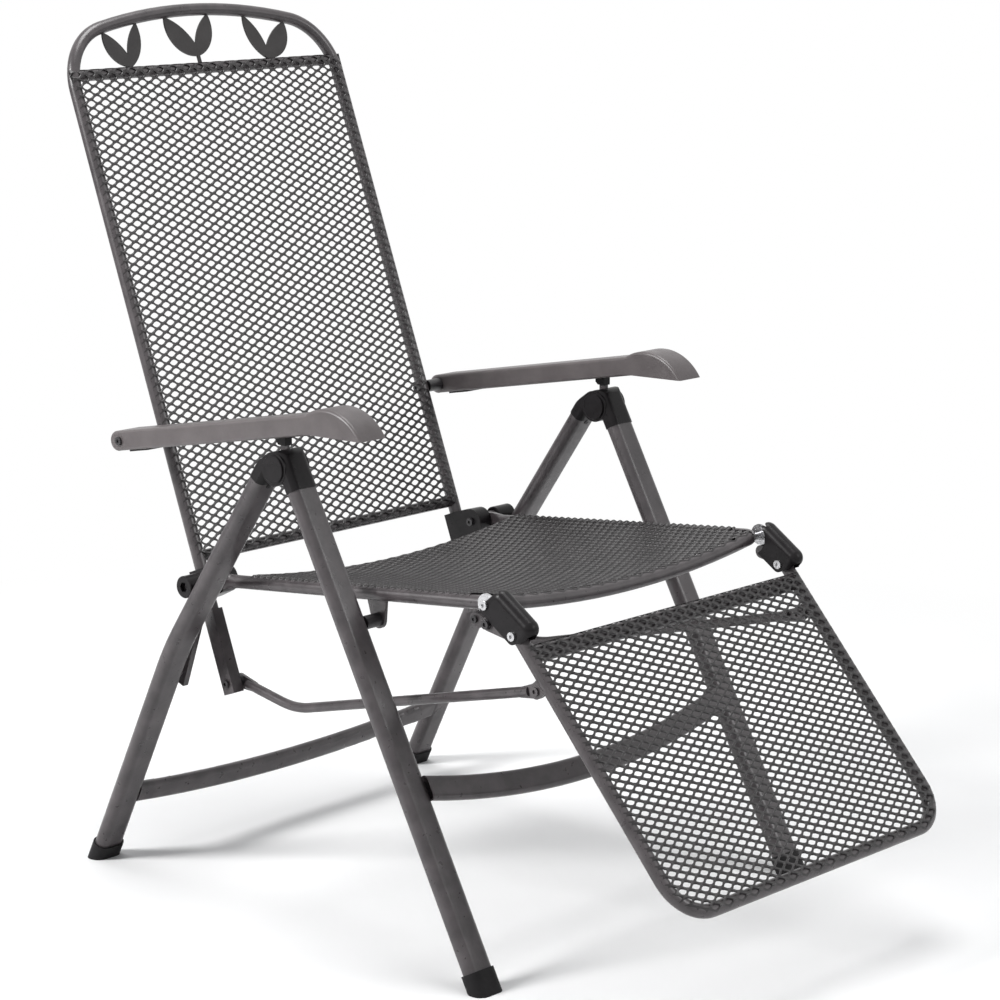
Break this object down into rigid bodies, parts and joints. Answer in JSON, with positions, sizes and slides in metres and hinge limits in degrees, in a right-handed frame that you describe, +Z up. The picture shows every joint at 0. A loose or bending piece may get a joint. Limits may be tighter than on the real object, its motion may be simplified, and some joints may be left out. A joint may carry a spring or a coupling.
{
  "type": "reclining garden armchair",
  "caption": "Folding garden armchair with a reclining back and attached leg rest, coated steel tube with expanded metal panels and leaf ornaments.",
  "frame": {"origin": "centre of the bounding box footprint, on the floor", "axes": "+Z up, the sitter faces -Y, +X is the sitter's left"},
  "size_m": [0.5988, 1.0536, 1.0518],
  "materials": {
    "coated_steel": "satin",
    "coated_mesh": "satin",
    "armrest_coat": "satin",
    "black_plastic": "matte",
    "foot_rubber": "matte",
    "dark_bolt": "blackened",
    "bolt_steel": "zinc plated"
  },
  "bodies": {
    "front_frame": {"front_leg_left": "coated_steel", "front_leg_right": "coated_steel", "front_crossbar": "coated_steel", "front_knuckle_left": "black_plastic", "front_knuckle_right": "black_plastic", "front_feet": "foot_rubber", "elbow_pins": "black_plastic", "arm_stems": "coated_steel", "arm_latches": "black_plastic"},
    "rear_frame": {"rear_leg_left": "coated_steel", "rear_leg_right": "coated_steel", "rear_crossbar": "coated_steel", "rear_knuckle_left": "black_plastic", "rear_knuckle_right": "black_plastic", "rear_feet": "foot_rubber", "knuckle_discs": "black_plastic", "strut_studs": "bolt_steel", "knuckle_screws": "dark_bolt"},
    "seat": {"seat_frame": "coated_steel", "seat_rear_bar": "coated_steel", "seat_mesh": "coated_mesh", "seat_bracket_left": "coated_steel", "seat_bracket_right": "coated_steel", "seat_pins": "dark_bolt"},
    "strut_left": {"strut_left": "coated_steel"},
    "strut_right": {"strut_right": "coated_steel"},
    "rear_axles": {"axle_bolt_left": "dark_bolt", "axle_bolt_right": "dark_bolt", "axle_bush_left": "black_plastic", "axle_bush_right": "black_plastic"},
    "backrest": {"back_frame": "coated_steel", "back_mesh": "coated_mesh", "back_top_rail": "coated_steel", "back_bottom_rail": "coated_steel", "back_leaves": "coated_steel", "back_extension_left": "coated_steel", "back_extension_right": "coated_steel", "hinge_block_left": "black_plastic", "hinge_block_right": "black_plastic"},
    "arm_bolt_left": {"arm_bolt_left": "dark_bolt"},
    "arm_bolt_right": {"arm_bolt_right": "dark_bolt"},
    "armrest_left": {"armrest_left": "armrest_coat", "arm_rack_left": "black_plastic"},
    "armrest_right": {"armrest_right": "armrest_coat", "arm_rack_right": "black_plastic"},
    "link_pin_left": {"link_pin_left": "dark_bolt"},
    "link_pin_right": {"link_pin_right": "dark_bolt"},
    "link_rod_left": {"link_rod_left": "coated_steel"},
    "link_rod_right": {"link_rod_right": "coated_steel"},
    "rest_axles": {"rest_pin_left": "bolt_steel", "rest_pin_right": "bolt_steel"},
    "leg_rest": {"rest_frame": "coated_steel", "rest_top_bar": "coated_steel", "rest_mesh": "coated_mesh", "rest_knuckle_left": "black_plastic", "rest_knuckle_right": "black_plastic", "rest_levers": "coated_steel", "rest_stops": "dark_bolt", "rest_bolts": "bolt_steel", "rest_link_tabs": "coated_steel"}
  },
  "joints": [
    {"name": "fold", "type": "hinge", "parent": "front_frame", "child": "rear_frame", "pos_m": [0, 0.05085, 0.55], "axis": [-1, 0, 0], "range_deg": [0, 52]},
    {"name": "seat_fold", "type": "hinge", "parent": "front_frame", "child": "seat", "pos_m": [0, -0.05661, 0.38089], "axis": [-1, 0, 0], "range_deg": [0, 66.15]},
    {"name": "strut_fold_left", "type": "hinge", "parent": "seat", "child": "strut_left", "pos_m": [0, 0.22385, 0.379], "axis": [-1, 0, 0], "range_deg": [0, 81.25]},
    {"name": "strut_fold_right", "type": "hinge", "parent": "seat", "child": "strut_right", "pos_m": [0, 0.22385, 0.379], "axis": [-1, 0, 0], "range_deg": [0, 81.25]},
    {"name": "back_fold", "type": "hinge", "parent": "seat", "child": "rear_axles", "pos_m": [0, 0.22385, 0.379], "axis": [-1, 0, 0], "range_deg": [-101.11, 0]},
    {"name": "recline", "type": "hinge", "parent": "rear_axles", "child": "backrest", "pos_m": [0, 0.22385, 0.379], "axis": [-1, 0, 0], "range_deg": [0, 26]},
    {"name": "arm_fold_left", "type": "hinge", "parent": "backrest", "child": "arm_bolt_left", "pos_m": [0, 0.32447, 0.54542], "axis": [-1, 0, 0], "range_deg": [0, 127.01]},
    {"name": "arm_level_left", "type": "hinge", "parent": "arm_bolt_left", "child": "armrest_left", "pos_m": [0, 0.32447, 0.54542], "axis": [-1, 0, 0], "range_deg": [-18.21, 0]},
    {"name": "link_fold_left", "type": "hinge", "parent": "backrest", "child": "link_pin_left", "pos_m": [0, 0.20968, 0.251], "axis": [-1, 0, 0], "range_deg": [0, 85.51]},
    {"name": "link_swing_left", "type": "hinge", "parent": "link_pin_left", "child": "link_rod_left", "pos_m": [0, 0.20968, 0.251], "axis": [-1, 0, 0], "range_deg": [-18.6, 0]},
    {"name": "arm_fold_right", "type": "hinge", "parent": "backrest", "child": "arm_bolt_right", "pos_m": [0, 0.32447, 0.54542], "axis": [-1, 0, 0], "range_deg": [0, 127.01]},
    {"name": "arm_level_right", "type": "hinge", "parent": "arm_bolt_right", "child": "armrest_right", "pos_m": [0, 0.32447, 0.54542], "axis": [-1, 0, 0], "range_deg": [-18.21, 0]},
    {"name": "link_fold_right", "type": "hinge", "parent": "backrest", "child": "link_pin_right", "pos_m": [0, 0.20968, 0.251], "axis": [-1, 0, 0], "range_deg": [0, 85.51]},
    {"name": "link_swing_right", "type": "hinge", "parent": "link_pin_right", "child": "link_rod_right", "pos_m": [0, 0.20968, 0.251], "axis": [-1, 0, 0], "range_deg": [-18.6, 0]},
    {"name": "rest_fold", "type": "hinge", "parent": "seat", "child": "rest_axles", "pos_m": [0, -0.23518, 0.4313], "axis": [-1, 0, 0], "range_deg": [-75.41, 0]},
    {"name": "rest_lift", "type": "hinge", "parent": "rest_axles", "child": "leg_rest", "pos_m": [0, -0.23518, 0.4313], "axis": [-1, 0, 0], "range_deg": [0, 49.93]}
  ],
  "couplings": [
    {"joint": "seat_fold", "follows": "fold", "ratio": 1.2719},
    {"joint": "strut_fold_left", "follows": "fold", "ratio": 1.5623},
    {"joint": "strut_fold_right", "follows": "fold", "ratio": 1.5623},
    {"joint": "back_fold", "follows": "fold", "ratio": -1.9442},
    {"joint": "arm_fold_left", "follows": "fold", "ratio": 2.4423},
    {"joint": "arm_level_left", "follows": "recline", "ratio": -0.7},
    {"joint": "link_fold_left", "follows": "fold", "ratio": 1.6442},
    {"joint": "link_swing_left", "follows": "recline", "ratio": -0.715},
    {"joint": "arm_fold_right", "follows": "fold", "ratio": 2.4423},
    {"joint": "arm_level_right", "follows": "recline", "ratio": -0.7},
    {"joint": "link_fold_right", "follows": "fold", "ratio": 1.6442},
    {"joint": "link_swing_right", "follows": "recline", "ratio": -0.715},
    {"joint": "rest_fold", "follows": "fold", "ratio": -1.45},
    {"joint": "rest_lift", "follows": "recline", "ratio": 1.92}
  ]
}
